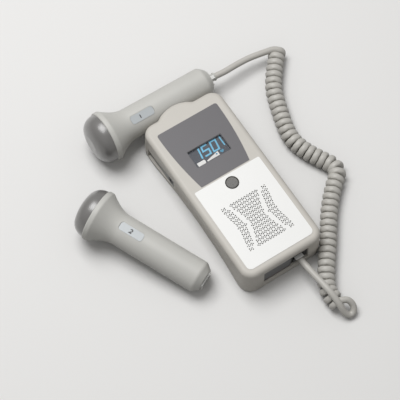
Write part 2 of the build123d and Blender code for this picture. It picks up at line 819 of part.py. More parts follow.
with BuildPart() as side_panel:
    block((side_panel_x, side_flange_x[1]), (side_window_y[0] + panel_gap, side_window_y[1] - panel_gap),
          (side_window_z[0] + panel_gap, side_window_z[1] - panel_gap))
    block(side_flange_x, side_flange_y, side_flange_z)
    with BuildSketch(Plane.XY.offset(wheel_z[0] - wheel_clearance)):
        with Locations(wheel_centre):
            Circle(wheel_radius + wheel_clearance)
    extrude(amount=wheel_z[1] - wheel_z[0] + 2 * wheel_clearance, mode=Mode.SUBTRACT)
    with BuildSketch(Plane.YZ.offset(outside_x)):
        with Locations((jack_y, jack_z)):
            Circle(jack_hole_radius)
        with Locations(*small_hole_places):
            Circle(small_hole_radius)
    extrude(amount=side_flange_x[1] - outside_x, mode=Mode.SUBTRACT)
save(side_panel, "side_panel")

with BuildPart() as headphone_jack:
    block(jack_body_x, (jack_y - jack_body_half_width, jack_y + jack_body_half_width),
          (jack_body_low_z, board_z))
    with BuildSketch(Plane.YZ.offset(side_panel_x - panel_gap)):
        with Locations((jack_y, jack_z)):
            Circle(jack_bushing_radius)
    extrude(amount=jack_bushing_length)
    with BuildSketch(Plane.YZ.offset(side_panel_x - panel_gap)):
        with Locations((jack_y, jack_z)):
            Circle(jack_bore_radius)
    extrude(amount=jack_bore_depth, mode=Mode.SUBTRACT)
save(headphone_jack, "headphone_jack")

# ---- End panel, probe jack and the plug in it

with BuildPart() as end_panel:
    block((end_window_x[0] + end_gap, end_panel_right_x), (end_panel_y, end_flange_y[1]),
          (end_window_z[0] + end_gap, end_window_z[1] - end_gap))
    block((end_window_x[0] - end_flange_reach, end_panel_right_x), end_flange_y, end_flange_z)
save(end_panel, "end_panel")

plug_low_z = plug_z - plug_height / 2
with BuildPart() as probe_jack:
    block((end_panel_right_x + end_gap, end_window_x[1] - end_gap), probe_jack_y,
          (end_window_z[0] + 2 * end_gap, end_window_z[1] - 2 * end_gap))
    block((plug_x - plug_width / 2 - plug_gap, plug_x + plug_width / 2 + plug_gap), (outside_y, jack_floor_y),
          (plug_low_z - plug_gap, plug_low_z + plug_height + latch_room), Mode.SUBTRACT)
save(probe_jack, "probe_jack")

with BuildPart() as unit_plug:
    block((plug_x - plug_width / 2, plug_x + plug_width / 2), plug_y, (plug_low_z, plug_low_z + plug_height))
    fillet(unit_plug.edges().filter_by(Axis.Y), plug_edge_radius)
save(unit_plug, "unit_plug")

with BuildPart() as unit_plug_latch:
    with BuildSketch(Plane.YZ.offset(plug_x)):
        Polygon(*[(y, plug_low_z + plug_height + rise) for y, rise in latch_outline], align=None)
    extrude(amount=latch_half_width, both=True)
save(unit_plug_latch, "unit_plug_latch")

with BuildPart() as probe_plug:
    with BuildSketch(docked.across(-probe_plug_proud)):
        Rectangle(*probe_plug_size)
    extrude(amount=probe_plug_length)
    with BuildSketch(docked.across(-probe_plug_proud)):
        RectangleRounded(*probe_plug_neck)
    extrude(amount=-probe_plug_neck_length)
    with BuildSketch(docked.across(-probe_plug_proud - probe_plug_neck_length)):
        Circle(probe_plug_collar_radius)
    extrude(amount=-probe_plug_collar_length)
save(probe_plug, "probe_plug")

with BuildPart() as probe_plug_latch:
    with BuildSketch(docked.lengthwise()):
        Polygon(*probe_latch_outline, align=None)
    extrude(amount=probe_latch_half_width, both=True)
save(probe_plug_latch, "probe_plug_latch")

# ---- Loudspeaker

with BuildPart() as speaker_basket:
    with BuildSketch(Plane.XZ.offset(-speaker_y)):
        Polygon(*basket_section, align=None)
    revolve(axis=Axis((0, speaker_y, 0), (0, 0, 1)))
save(speaker_basket, "speaker_basket")

with BuildPart() as speaker_magnet:
    with BuildSketch(Plane.XY.offset(magnet_z[0])):
        with Locations((0, speaker_y)):
            Circle(magnet_radius)
    extrude(amount=magnet_z[1] - magnet_z[0])
save(speaker_magnet, "speaker_magnet")

with BuildPart() as speaker_cone:
    with BuildSketch(Plane.XZ.offset(-speaker_y)):
        Polygon(*cone_section, align=None)
    revolve(axis=Axis((0, speaker_y, 0), (0, 0, 1)))
save(speaker_cone, "speaker_cone")

# ---- Cells and their contacts, each cell facing the other way from its neighbour


def cell_plane(number, offset):
    """Plane across a cell, at an offset from its middle towards its cap, looking the same way."""
    facing = 1 if number % 2 else -1
    cell_x = (number - 1.5) * cell_pitch
    return Plane(origin=(cell_x, cell_centre_y + facing * offset, cell_centre_z), z_dir=(0, facing, 0))


for number in range(4):
    with BuildPart() as cell:
        with BuildSketch(cell_plane(number, -cell_half_length)):
            Circle(cell_diameter / 2)
        extrude(amount=cell_length)
        chamfer(cell.edges(), cell_chamfer)
        with BuildSketch(cell_plane(number, cell_cap_plane)):
            Circle(cell_cap_radius)
        extrude(amount=cell_cap_height)
    save(cell, f"battery_{number + 1}")

with BuildPart() as cell_plates:
    for number in range(4):
        plane = cell_plane(number, contact_plane)
        x, y, z = plane.origin
        cap_y = cell_centre_y + plane.z_dir.Y * cell_half_length
        width, thickness = contact_size
        block((x - width / 2, x + width / 2), (y - thickness / 2, y + thickness / 2), contact_z)
        block((x - contact_tab[0] / 2, x + contact_tab[0] / 2), sorted((cap_y, y)),
              (z - contact_tab[1] / 2, z + contact_tab[1] / 2))
save(cell_plates, "cell_plates")

with BuildPart() as cell_springs:
    for number in range(4):
        spring_ends = (spring_end_plane, spring_end_radii), (spring_tip_plane, spring_tip_radii)
        for plane, (outer, inner) in spring_ends:
            with BuildSketch(cell_plane(number, -plane)):
                Circle(outer)
                Circle(inner, mode=Mode.SUBTRACT)
        loft()
save(cell_springs, "cell_springs")

# ---- Case screws

with BuildPart() as case_screws:
    with BuildSketch(Plane.XY.offset(screw_head_z)):
        with Locations(*screw_places):
            Circle(screw_head_radius)
    extrude(amount=screw_head_height)
    with BuildSketch(Plane.XY.offset(screw_head_z)):
        with Locations(*screw_places):
            Rectangle(*screw_slot)
            Rectangle(*screw_slot, rotation=90)
    extrude(amount=screw_slot_depth, mode=Mode.SUBTRACT)
    with BuildSketch(Plane.XY.offset(screw_head_z + screw_head_height)):
        with Locations(*screw_places):
            Circle(screw_shank_radius)
    extrude(amount=screw_shank_length)
save(case_screws, "case_screws")

# ---- Cord


def corner_radii(route):
    """Each corner's arc is as large as its two runs allow."""
    radii = []
    for before, corner, after in zip(route, route[1:], route[2:]):
        turn = (corner - before).get_angle(after - corner)
        shorter = min((corner - before).length, (after - corner).length)
        radii.append(arc_share * shorter / tan(radians(turn) / 2))
    return radii


def make_cord(route, diameter, name):
    corners = [Vector(*point) for point in route]
    radii = corner_radii(corners)
    with BuildPart() as cord:
        with BuildLine() as path:
            FilletPolyline(*corners, radius=radii)
        with BuildSketch(Plane(origin=path.line @ 0, z_dir=path.line % 0)):
            Circle(diameter / 2)
        sweep(path=path.line)
    length = sum(edge.length for edge in path.edges())
    share = cord.part.volume / (pi * diameter**2 / 4 * length)
    print(name, "length", round(length, 1), "volume share", round(share, 4))
    print("radii", [round(radius, 1) for radius in radii])
    save(cord, name)


make_cord(probe_lead_route, cord_diameter, "cord_probe_lead")
make_cord([(x, y, coil_z) for x, y in coil_route], coil_diameter, "cord_coil")
make_cord(unit_lead_route, cord_diameter, "cord_unit_lead")
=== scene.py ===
import bpy
from math import cos, pi, sin, tau
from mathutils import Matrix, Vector


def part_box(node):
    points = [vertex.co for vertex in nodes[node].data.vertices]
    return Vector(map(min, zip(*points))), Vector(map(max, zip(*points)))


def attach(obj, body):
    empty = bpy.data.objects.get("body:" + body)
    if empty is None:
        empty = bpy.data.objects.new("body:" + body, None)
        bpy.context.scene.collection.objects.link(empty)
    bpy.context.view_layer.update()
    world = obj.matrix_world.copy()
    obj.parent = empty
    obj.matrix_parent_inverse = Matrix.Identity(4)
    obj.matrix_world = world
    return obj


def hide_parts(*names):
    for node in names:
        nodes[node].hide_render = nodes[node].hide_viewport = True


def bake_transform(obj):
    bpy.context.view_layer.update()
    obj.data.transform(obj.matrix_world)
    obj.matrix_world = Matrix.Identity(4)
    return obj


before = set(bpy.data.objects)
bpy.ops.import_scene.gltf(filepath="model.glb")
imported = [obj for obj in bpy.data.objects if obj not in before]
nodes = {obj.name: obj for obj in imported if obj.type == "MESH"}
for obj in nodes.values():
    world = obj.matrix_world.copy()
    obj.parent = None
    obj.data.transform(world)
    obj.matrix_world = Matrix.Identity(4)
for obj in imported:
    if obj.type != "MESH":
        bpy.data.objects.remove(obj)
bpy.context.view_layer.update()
scene = bpy.context.scene
mm = 0.001
print("frame loaded,", len(nodes), "nodes")


# camera and light: places in mm for the camera, in metres for the lamps
view = {"eye": (-356.8, -502.9, 1317.1), "target": (-24.43, 14.27, 0.0), "lens": 143.88, "sensor": 36,
        "clipEnd": 20}
studio = {
    "floorColour": (0.775, 0.77, 0.76), "floorUnderside": (0.18, 0.177, 0.17), "floorSize": 6.0,
    "speckSize": 3.0, "speckDetail": 3.0, "speckTones": (0.995, 1.005),
    "floorRough": 0.9, "floorSpecular": 0.1,
    "sky": 0.335, "skyColour": (1.0, 0.995, 0.985),
    "key": {"place": (-0.17, 0.58, 1.55), "size": 1.0, "power": 21.8},
    "fill": {"place": (-1.2, -0.9, 1.2), "size": 1.2, "power": 0.5},
}


def aim(thing, place, target):
    thing.location = place
    thing.rotation_euler = (Vector(target) - Vector(place)).to_track_quat("-Z", "Y").to_euler()


def setCamera():
    data = bpy.data.cameras.new("camera")
    data.lens, data.sensor_width = view["lens"], view["sensor"]
    data.clip_end = view["clipEnd"]
    camera = bpy.data.objects.new("camera", data)
    scene.collection.objects.link(camera)
    aim(camera, Vector(view["eye"]) * mm, Vector(view["target"]) * mm)
    scene.camera = camera


def softbox(name, place, size, power):
    data = bpy.data.lights.new(name, "AREA")
    data.size, data.energy = size, power
    lamp = bpy.data.objects.new(name, data)
    scene.collection.objects.link(lamp)
    aim(lamp, place, (0, 0, 0))


setCamera()
for lampName in ("key", "fill"):
    softbox(lampName, **studio[lampName])
scene.view_settings.view_transform = "Standard"


class Wire:  # a shader socket that takes part in sums
    def __init__(self, graph, socket):
        self.graph, self.socket = graph, socket

    def math(self, operation, first, second=0.0):
        return self.graph.node("Math", {"operation": operation}, {0: first, 1: second})

    def __add__(self, other):
        return self.math("ADD", self, other)

    def __radd__(self, other):
        return self.math("ADD", other, self)

    def __sub__(self, other):
        return self.math("SUBTRACT", self, other)

    def __rsub__(self, other):
        return self.math("SUBTRACT", other, self)

    def __mul__(self, other):
        return self.math("MULTIPLY", self, other)

    def __rmul__(self, other):
        return self.math("MULTIPLY", other, self)

    def __truediv__(self, other):
        return self.math("DIVIDE", self, other)

    def __lt__(self, other):
        return self.math("LESS_THAN", self, other)

    def __gt__(self, other):
        return self.math("GREATER_THAN", self, other)

    def __abs__(self):
        return self.math("ABSOLUTE", self)


class Graph:
    def __init__(self, name):
        self.material = bpy.data.materials.new(name)
        self.material.use_nodes = True
        self.tree = self.material.node_tree
        self.tree.nodes.clear()

    def node(self, kind, settings=None, values=None, output=0):
        made = self.tree.nodes.new("ShaderNode" + kind)
        for key, value in (settings or {}).items():
            setattr(made, key, value)
        for key, value in (values or {}).items():
            if isinstance(value, Wire):
                self.tree.links.new(value.socket, made.inputs[key])
            elif isinstance(value, tuple) and made.inputs[key].type == "RGBA":
                made.inputs[key].default_value = (*value, 1)
            else:
                made.inputs[key].default_value = value
        return Wire(self, made.outputs[output]) if made.outputs else None

    def place(self):
        return self.node("TexCoord", output="Object")

    def height(self):  # height over the floor in mm
        return self.node("SeparateXYZ", {}, {0: self.place()}, output=2) / mm

    def noise(self, size, detail, roughness=0.5):
        values = {"Vector": self.place(), "Scale": 1 / (size * mm), "Detail": detail, "Roughness": roughness}
        return self.node("TexNoise", {}, values)

    def cells(self, size):
        return self.node("TexVoronoi", {}, {"Vector": self.place(), "Scale": 1 / (size * mm)})

    def mix(self, factor, first, second):
        return self.node("Mix", {"data_type": "RGBA"}, {"Factor": factor, 6: first, 7: second}, output=2)

    def blend(self, factor, low, high):
        return low + factor * (high - low)

    def bump(self, height, strength, depth):
        return self.node("Bump", {}, {"Height": height, "Strength": strength, "Distance": depth * mm})

    def finish(self, **values):
        sockets = {key.replace("_", " "): value for key, value in values.items()}
        shader = self.node("BsdfPrincipled", {}, sockets)
        self.node("OutputMaterial", {}, {"Surface": shader})
        return self.material


def shade(colour, by):
    return tuple(min(1.0, part * by) for part in colour)


# fine pebble grain over a slow drift of tone, sizes in mm
moulded = {"detail": 3.0, "pebbleRough": 0.6, "driftScale": 40, "driftRough": 0.55, "speckShare": 0.5,
           "speckDepth": 2.4, "smoother": 0.06, "rougher": 0.08}


def mouldedPlastic(name, colour, grain, rough, depth, cloud=0.05, strength=0.5, second=None, where=None):
    graph = Graph(name)
    pebble = graph.noise(grain, moulded["detail"], moulded["pebbleRough"])
    drift = graph.noise(grain * moulded["driftScale"], moulded["detail"], moulded["driftRough"])
    tone = graph.mix(drift, shade(colour, 1 - cloud), shade(colour, 1 + cloud))
    tone = graph.mix(pebble * moulded["speckShare"], tone, shade(colour, 1 - moulded["speckDepth"] * cloud))
    if where:  # painted shade: a second, darker colour on one part of the piece
        tone = graph.mix(where(graph), tone, second)
    roughness = graph.blend(pebble, rough - moulded["smoother"], rough + moulded["rougher"])
    return graph.finish(Base_Color=tone, Roughness=roughness, Normal=graph.bump(pebble, strength, depth))


gloss = {"driftSize": 9.0, "driftDetail": 4.0, "driftRough": 0.6, "smearSize": 2.2, "smearDetail": 5.0,
         "smearRough": 0.65, "roughSpread": (0.75, 1.3), "bump": (0.06, 0.03)}


def glossPlastic(name, colour, rough, cloud=0.04, coat=0.0, coatRough=0.1):
    graph = Graph(name)
    drift = graph.noise(gloss["driftSize"], gloss["driftDetail"], gloss["driftRough"])
    smear = graph.noise(gloss["smearSize"], gloss["smearDetail"], gloss["smearRough"])
    tone = graph.mix(drift, shade(colour, 1 - cloud), shade(colour, 1 + cloud))
    roughness = graph.blend(smear, *[rough * by for by in gloss["roughSpread"]])
    return graph.finish(Base_Color=tone, Roughness=roughness, Coat_Weight=coat, Coat_Roughness=coatRough,
                        Normal=graph.bump(smear, *gloss["bump"]))


plated = {"grain": 0.4, "detail": 4.0, "rough": 0.7, "tones": (0.88, 1.08), "roughSpread": (0.7, 1.4),
          "bump": (0.15, 0.05)}


def metalFinish(name, colour, rough):
    graph = Graph(name)
    lines = graph.noise(plated["grain"], plated["detail"], plated["rough"])
    tone = graph.mix(lines, *[shade(colour, by) for by in plated["tones"]])
    roughness = graph.blend(lines, *[rough * by for by in plated["roughSpread"]])
    return graph.finish(Base_Color=tone, Metallic=1.0, Roughness=roughness,
                        Normal=graph.bump(lines, *plated["bump"]))


beaded = {"size": 0.75, "driftSize": 3.0, "driftDetail": 3.0, "tones": (1.45, 0.6), "driftShare": 0.5,
          "driftTone": 1.1, "rough": 0.62, "bump": (0.7, 0.18)}


def powerButtonFinish(name, colour):
    graph = Graph(name)
    bead = graph.cells(beaded["size"])
    drift = graph.noise(beaded["driftSize"], beaded["driftDetail"])
    tone = graph.mix(bead, *[shade(colour, by) for by in beaded["tones"]])
    tone = graph.mix(drift * beaded["driftShare"], tone, shade(colour, beaded["driftTone"]))
    return graph.finish(Base_Color=tone, Roughness=beaded["rough"],
                        Normal=graph.bump(1 - bead, *beaded["bump"]))


tracks = {"scale": 240.0, "gap": 0.03, "rough": 0.35, "bump": (0.3, 0.05)}


def boardFinish(name, mask, track):
    graph = Graph(name)
    sizes = {"Vector": graph.place(), "Scale": tracks["scale"], "Mortar Size": tracks["gap"]}
    spots = graph.node("TexBrick", {}, sizes, output="Fac")
    tone = graph.mix(spots, mask, track)
    return graph.finish(Base_Color=tone, Roughness=tracks["rough"], Normal=graph.bump(spots, *tracks["bump"]))


panel = {"driftSize": 12.0, "driftDetail": 2.0, "tones": (0.85, 1.2), "rough": 0.4}


def screenFinish(name, colour, glow):
    graph = Graph(name)
    drift = graph.noise(panel["driftSize"], panel["driftDetail"])
    tone = graph.mix(drift, *[shade(colour, by) for by in panel["tones"]])
    return graph.finish(Base_Color=tone, Roughness=panel["rough"], Emission_Color=tone,
                        Emission_Strength=glow)


clear = {"smearSize": 4.0, "smearDetail": 4.0, "colour": (0.35, 0.38, 0.43), "rough": (0.03, 0.09),
         "alpha": 0.05, "specular": 0.5}


def lensFinish(name):
    graph = Graph(name)
    smear = graph.noise(clear["smearSize"], clear["smearDetail"])
    return graph.finish(Base_Color=clear["colour"], Roughness=graph.blend(smear, *clear["rough"]),
                        Alpha=clear["alpha"], Specular_IOR_Level=clear["specular"])


sleeve = {"behind": 40.0, "bandReach": 17.0, "scuffSize": 1.5, "scuffDetail": 4.0, "scuffShare": 0.3,
          "scuffTone": 1.6, "metallic": 0.35, "rough": (0.25, 0.45)}


def cellFinish(name, colour, band):
    graph = Graph(name)
    along = graph.node("SeparateXYZ", {}, {0: graph.place()}, output=1)
    ring = abs(along / mm + sleeve["behind"]) > sleeve["bandReach"]
    scuff = graph.noise(sleeve["scuffSize"], sleeve["scuffDetail"])
    tone = graph.mix(ring, colour, band)
    tone = graph.mix(scuff * sleeve["scuffShare"], tone, shade(colour, sleeve["scuffTone"]))
    return graph.finish(Base_Color=tone, Metallic=sleeve["metallic"],
                        Roughness=graph.blend(scuff, *sleeve["rough"]))


jacket = {"fineSize": 0.5, "driftSize": 22.0, "detail": 3.0, "tones": (0.92, 1.08), "fineShare": 0.35,
          "fineTone": 0.82, "rough": (0.38, 0.52), "bump": (0.2, 0.04)}


def cordFinish(name, colour):
    graph = Graph(name)
    fine = graph.noise(jacket["fineSize"], jacket["detail"])
    drift = graph.noise(jacket["driftSize"], jacket["detail"])
    tone = graph.mix(drift, *[shade(colour, by) for by in jacket["tones"]])
    tone = graph.mix(fine * jacket["fineShare"], tone, shade(colour, jacket["fineTone"]))
    return graph.finish(Base_Color=tone, Roughness=graph.blend(fine, *jacket["rough"]),
                        Normal=graph.bump(fine, *jacket["bump"]))


# painted shade: the display window's wall is painted near-black where shade falls in the recess, half sizes
# and middle in mm
windowWallShade = {"half": (18.4, 9.5), "middle": 37.1, "floor": 30.0, "colour": (0.09, 0.087, 0.09)}


def belowHeight(top):
    return lambda graph: graph.height() < top


def inWindowShade(graph):
    across = graph.node("SeparateXYZ", {}, {0: graph.place()}, output=0) / mm
    along = graph.node("SeparateXYZ", {}, {0: graph.place()}, output=1) / mm
    wide, high = windowWallShade["half"]
    inside = (abs(across) < wide) * (abs(along - windowWallShade["middle"]) < high)
    return inside * (graph.height() > windowWallShade["floor"])


finishes = {
    # painted shade: the shell's display window wall above 30 mm is painted near-black
    "shell": mouldedPlastic("shellPlastic", (0.575, 0.55, 0.505), 0.55, 0.5, 0.05,
                            second=windowWallShade["colour"], where=inWindowShade),
    "probeShell": mouldedPlastic("probeShellPlastic", (0.555, 0.55, 0.52), 0.5, 0.46, 0.04),
    "overlay": mouldedPlastic("overlayFilm", (0.124, 0.119, 0.127), 0.3, 0.42, 0.015, 0.03),
    # painted shade: the speaker hole walls and plate sides below 35.35 mm are painted dark warm brown
    "plate": mouldedPlastic("platePaint", (0.84, 0.84, 0.825), 0.4, 0.36, 0.012, 0.02, 0.25,
                            second=(0.30, 0.26, 0.20), where=belowHeight(35.35)),
    "face": glossPlastic("probeFaceGloss", (0.175, 0.17, 0.165), 0.3, 0.05, 1.0, 0.28),
    "slate": mouldedPlastic("slatePlastic", (0.05, 0.052, 0.056), 0.5, 0.45, 0.05),
    # painted shade: the end panel below 12.5 mm is painted dark, standing in for the shade of the groove at
    # its lower edge
    "endPanel": mouldedPlastic("endPanelPlastic", (0.12, 0.12, 0.125), 0.5, 0.45, 0.04,
                               second=(0.05, 0.035, 0.033), where=belowHeight(12.5)),
    "sidePanel": mouldedPlastic("sidePanelPlastic", (0.27, 0.275, 0.27), 0.5, 0.45, 0.04),
    "black": mouldedPlastic("blackPlastic", (0.018, 0.018, 0.018), 0.5, 0.4, 0.04),
    "tag": glossPlastic("tagPlate", (0.49, 0.52, 0.535), 0.32),
    "tailFrame": glossPlastic("tailFrameNylon", (0.72, 0.72, 0.70), 0.34),
    "tagPrint": mouldedPlastic("tagPrint", (0.05, 0.05, 0.055), 0.4, 0.5, 0.01),
    "button": powerButtonFinish("buttonRubber", (0.165, 0.162, 0.156)),
    "board": boardFinish("boardMask", (0.02, 0.16, 0.06), (0.04, 0.28, 0.10)),
    "metal": metalFinish("zincPlate", (0.55, 0.55, 0.56), 0.32),
    "contact": metalFinish("nickelPlate", (0.72, 0.70, 0.64), 0.22),
    "ferrite": mouldedPlastic("ferrite", (0.05, 0.05, 0.052), 0.8, 0.55, 0.08),
    "cone": mouldedPlastic("paperCone", (0.035, 0.034, 0.032), 0.9, 0.75, 0.1),
    "ceramic": glossPlastic("ceramic", (0.78, 0.74, 0.64), 0.3),
    "screen": screenFinish("screenPanel", (0.020, 0.024, 0.035), 0.1),
    "digit": screenFinish("screenDigit", (0.10, 0.36, 0.53), 0.35),
    "white": screenFinish("screenWhite", (0.62, 0.61, 0.59), 0.3),
    "symbol": screenFinish("screenSymbol", (0.03, 0.19, 0.30), 0.3),
    "lens": lensFinish("clearLens"),
    "latch": glossPlastic("latchNylon", (0.82, 0.82, 0.80), 0.3),
    "cell": cellFinish("cellSleeve", (0.08, 0.10, 0.12), (0.60, 0.42, 0.20)),
    "cord": cordFinish("cordJacket", (0.52, 0.505, 0.47)),
    "plug": cordFinish("plugBody", (0.52, 0.52, 0.49)),
}

wears = {
    "shell": ["front_shell", "rear_shell", "battery_door"],
    "probeShell": ["docked_handle", "spare_handle"],
    "tailFrame": ["docked_tail_frame", "spare_tail_frame"],
    "face": ["docked_face", "spare_face"],
    "overlay": ["display_overlay"],
    "plate": ["front_plate"],
    "slate": ["volume_wheel"],
    "endPanel": ["end_panel"],
    "sidePanel": ["side_panel"],
    "black": ["headphone_jack", "probe_jack", "docked_socket", "spare_socket", "power_switch", "unit_plug",
              "docked_crystal_backing", "spare_crystal_backing"],
    "tag": ["docked_tag", "spare_tag"],
    "button": ["power_button"],
    "board": ["main_circuit_board", "docked_circuit_board", "spare_circuit_board"],
    "metal": ["speaker_basket", "case_screws", "volume_potentiometer"],
    "contact": ["cell_plates", "cell_springs"],
    "ferrite": ["speaker_magnet"],
    "cone": ["speaker_cone"],
    "ceramic": ["docked_crystals", "spare_crystals"],
    "screen": ["display_module", "display_glass"],
    "lens": ["window_lens"],
    "latch": ["unit_plug_latch", "probe_plug_latch"],
    "cell": ["battery_1", "battery_2", "battery_3", "battery_4"],
    "plug": ["probe_plug"],
    "cord": ["cord_probe_lead", "cord_coil", "cord_unit_lead"],
}
for finish, wearers in wears.items():
    for wearer in wearers:
        nodes[wearer].data.materials.clear()
        nodes[wearer].data.materials.append(finishes[finish])
print("finishes on", sum(len(group) for group in wears.values()), "nodes")


def floorMaterial():
    graph = Graph("floorPaper")
    speck = graph.noise(studio["speckSize"], studio["speckDetail"])
    kinds = ("Is Camera Ray", "Is Glossy Ray", "Is Transmission Ray")
    rays = [graph.node("LightPath", output=ray) for ray in kinds]
    seen = rays[0] + rays[1] + rays[2]
    tones = [shade(studio["floorColour"], by) for by in studio["speckTones"]]
    tone = graph.mix(speck, *tones)
    tone = graph.mix(seen, studio["floorUnderside"], tone)
    return graph.finish(Base_Color=tone, Roughness=studio["floorRough"],
                        Specular_IOR_Level=studio["floorSpecular"])


def makeStage():
    reach = studio["floorSize"] / 2
    data = bpy.data.meshes.new("floor")
    corners = [(-reach, -reach, 0), (reach, -reach, 0), (reach, reach, 0), (-reach, reach, 0)]
    data.from_pydata(corners, [], [(0, 1, 2, 3)])
    data.materials.append(floorMaterial())
    floor = bpy.data.objects.new("floor", data)
    scene.collection.objects.link(floor)
    world = bpy.data.worlds.new("sky")
    world.use_nodes = True
    back = world.node_tree.nodes["Background"]
    back.inputs["Color"].default_value = (*studio["skyColour"], 1)
    back.inputs["Strength"].default_value = studio["sky"]
    scene.world = world


makeStage()
print("floor and sky made")


def addPiece(name, points, faces, finish, smooth=True):
    data = bpy.data.meshes.new(name)
    data.from_pydata([tuple(point) for point in points], [], faces)
    data.materials.append(finishes[finish])
    data.update()
    if smooth:
        data.polygons.foreach_set("use_smooth", [True] * len(data.polygons))
    piece = bpy.data.objects.new(name, data)
    scene.collection.objects.link(piece)
    return piece


def splineLine(points):  # the NURBS line that a list of control points draws
    curve = bpy.data.curves.new("route", "CURVE")
    curve.dimensions = "3D"
    curve.resolution_u = cord["splineSteps"]
    spline = curve.splines.new("NURBS")
    spline.points.add(len(points) - 1)
    for place, point in zip(spline.points, points):
        place.co = (*point, 1)
    spline.order_u = cord["splineOrder"]
    spline.use_endpoint_u = True
    route = bpy.data.objects.new("route", curve)
    line = bpy.data.meshes.new_from_object(route)
    found = [vertex.co.copy() for vertex in line.vertices]
    bpy.data.objects.remove(route)
    bpy.data.meshes.remove(line)
    return found


def evenly(line, step):
    found, carry = [line[0].copy()], 0.0
    for start, end in zip(line, line[1:]):
        run = (end - start).length
        while carry + run >= step:
            part = (step - carry) / run
            start = start.lerp(end, part)
            found.append(start.copy())
            run, carry = (end - start).length, 0.0
        carry += run
    found[-1] = line[-1].copy()
    return found


def tangentAt(line, index):
    return (line[min(index + 1, len(line) - 1)] - line[max(index - 1, 0)]).normalized()


def ringFrame(line, index, across, along):  # the last ring's frame turned along the line
    turned = tangentAt(line, index)
    across = along.rotation_difference(turned) @ across
    return (across - turned * across.dot(turned)).normalized(), turned


# the ring's frame turned towards the axis of the turns by the share pressed
def pressedFrame(line, index, across, along, pressed):
    if pressed > 0:
        reach = cord["axisReach"]
        back, ahead = line[max(index - reach, 0)], line[min(index + reach, len(line) - 1)]
        axis = (line[index] - back).cross(ahead - line[index]).normalized()
        if axis.dot(across) < 0:
            axis = -axis
        across = across.lerp(axis, pressed)
        across = (across - along * across.dot(along)).normalized()
    return across


def section(angle, radius, pressed):  # a circle, squared off where the cord is pressed
    power = 1 - cord["squareness"] * pressed
    return [radius * abs(value) ** power * (1 if value > 0 else -1) for value in (cos(angle), sin(angle))]


def tube(name, line, radius, sides, finish, pressed):
    points, faces = [], []
    along = tangentAt(line, 0)
    across = along.orthogonal().normalized()
    for index, centre in enumerate(line):
        across, along = ringFrame(line, index, across, along)
        across = pressedFrame(line, index, across, along, pressed[index])
        up = along.cross(across)
        for side in range(sides):
            wide, high = section(tau * (side + 0.5) / sides, radius, pressed[index])
            points.append(centre + across * wide + up * high)
    for ring in range(len(line) - 1):
        for side in range(sides):
            a, b = ring * sides + side, ring * sides + (side + 1) % sides
            faces.append((a, b, b + sides, a + sides))
    faces.append(tuple(range(sides))[::-1])
    faces.append(tuple(range(len(points) - sides, len(points))))
    return addPiece(name, points, faces, finish)


# the curly cord: one lead from the docked probe, the coiled stretch and one lead to the case
cord = {
    "diameter": 6.0, "sides": 14, "step": 1.1, "gauge": 0.25, "splineSteps": 12, "splineOrder": 3,
    "coilWidth": 16.2, "pitch": 6.45, "pointsPerTurn": 16, "lean": 1.0,
    "squareness": 0.32, "fadeIn": 14.0, "axisReach": 2,
    "probeLead": [(51.1, 106.3, 18.6), (60.0, 105.7, 17.9), (73.0, 106.6, 17.0), (88.0, 107.0, 15.7),
                  (99.5, 105.6, 15.0), (109.3, 104.1, 14.3), (114.8, 103.2, 13.9)],
    "coil": [(118.2, 101.2), (95.2, 76.8), (85.5, 50.4), (76.8, 20.5), (80.5, 3.0), (88.0, -12.5),
             (95.6, -26.0), (93.9, -34.4), (83.1, -42.5), (65.6, -60.3), (47.9, -85.2), (31.2, -105.6),
             (21.0, -121.0), (19.8, -130.5), (21.3, -138.2)],
    "coilHeight": 8.2, "startTurn": 0.0625,
    # the last turn lies open: a loop of its own, then the lead runs back over the coil to the case
    "loop": [(24.5, -139.4, 13.6), (29.6, -141.6, 12.7), (31.9, -147.0, 8.4), (29.6, -151.6, 4.4),
             (24.8, -152.3, 3.3), (21.0, -148.6, 7.4)],
    "unitLead": [(14.9, -86.8, 15.5), (15.2, -92.5, 15.7), (16.1, -105.0, 17.3), (17.2, -117.5, 19.4),
                 (18.6, -130.0, 19.6), (20.0, -141.5, 15.0)],
}


def scaled(points):
    return [Vector(point) * mm for point in points]


def coilPoints():
    gauge = cord["gauge"] * mm
    axis = evenly(splineLine(scaled([(x, y, cord["coilHeight"]) for x, y in cord["coil"]])), gauge)
    turns = round((len(axis) - 1) * gauge / mm / cord["pitch"])
    radius = (cord["coilWidth"] - cord["diameter"]) / 2 * mm / cos(pi / cord["pointsPerTurn"])
    first = round(cord["startTurn"] * cord["pointsPerTurn"])
    last = turns * cord["pointsPerTurn"]
    found = []
    for step in range(first, last + 1):
        index = min(len(axis) - 1, round(step / last * (len(axis) - 1)))
        along = tangentAt(axis, index)
        side = Vector((0, 0, 1)).cross(along).normalized()
        angle = tau * step / cord["pointsPerTurn"]
        ring = (Vector((0, 0, cos(angle))) + side * sin(angle)) * radius
        found.append(axis[index] + ring - along * cord["lean"] * mm * sin(angle))
    return found


def pressedShare(line):  # 1 where the turns lie against each other, 0 in the leads
    rings = range(len(line))
    first, last = scaled([cord["probeLead"][-1], cord["loop"][0]])
    start = min(rings, key=lambda index: (line[index] - first).length)
    end = min(rings, key=lambda index: (line[index] - last).length)
    shares = [min(index - start, end - index) * cord["step"] / cord["fadeIn"] for index in rings]
    return [max(0.0, min(1.0, share)) for share in shares]


